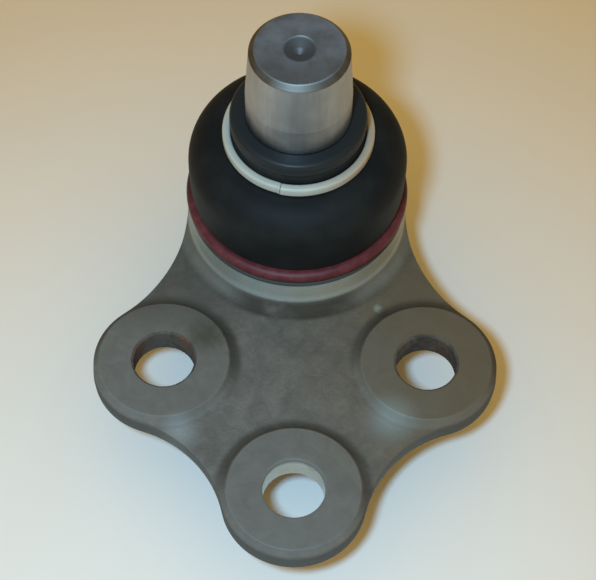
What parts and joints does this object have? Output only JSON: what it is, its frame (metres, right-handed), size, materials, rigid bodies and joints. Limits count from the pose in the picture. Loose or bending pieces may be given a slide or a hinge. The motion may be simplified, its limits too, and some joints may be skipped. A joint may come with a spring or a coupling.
{
  "type": "suspension ball joint",
  "caption": "Bolt-on suspension ball joint: three-eared forged flange, round socket, rubber dust boot with retaining rings, and a plain pinch-bolt pin.",
  "frame": {"origin": "midway between the two side bolt holes, on the machined faces of the bolt pads", "axes": "+Z along the pin, away from the flange; +Y from the third bolt hole to the pin's axis; +X towards the right-hand side bolt hole"},
  "size_m": [0.0698, 0.0881, 0.0623],
  "materials": {
    "housing": "forged steel with a dull dark grey phosphate coat",
    "closing_cover": "pressed steel, dull",
    "preload_spring": "hardened spring steel",
    "bearing_seat": "moulded acetal",
    "ball_stud": "ground steel, satin",
    "dust_boot": "smooth black rubber",
    "lower_boot_ring": "muted red elastic ring",
    "upper_boot_ring": "pale moulded ring"
  },
  "bodies": {
    "housing": {"housing": "housing", "closing_cover": "closing_cover", "preload_spring": "preload_spring", "lower_bearing_seat": "bearing_seat", "upper_bearing_seat": "bearing_seat", "lower_boot_ring": "lower_boot_ring"},
    "boot_middle": {"dust_boot": "dust_boot"},
    "collar": {"upper_boot_ring": "upper_boot_ring"},
    "ball_stud": {"ball_stud": "ball_stud"}
  },
  "joints": [
    {"name": "swing_about_x", "type": "hinge", "parent": "housing", "child": "boot_middle", "pos_m": [0, 0.0315, 0.001], "axis": [1, 0, 0], "range_deg": [-18, 18], "deforming": ["dust_boot"]},
    {"name": "swing_about_y", "type": "hinge", "parent": "boot_middle", "child": "collar", "pos_m": [0, 0.0315, 0.001], "axis": [0, 1, 0], "range_deg": [-18, 18]},
    {"name": "pin_spin", "type": "hinge", "parent": "collar", "child": "ball_stud", "pos_m": [0, 0.0315, 0.001], "axis": [0, 0, 1], "continuous": true}
  ]
}
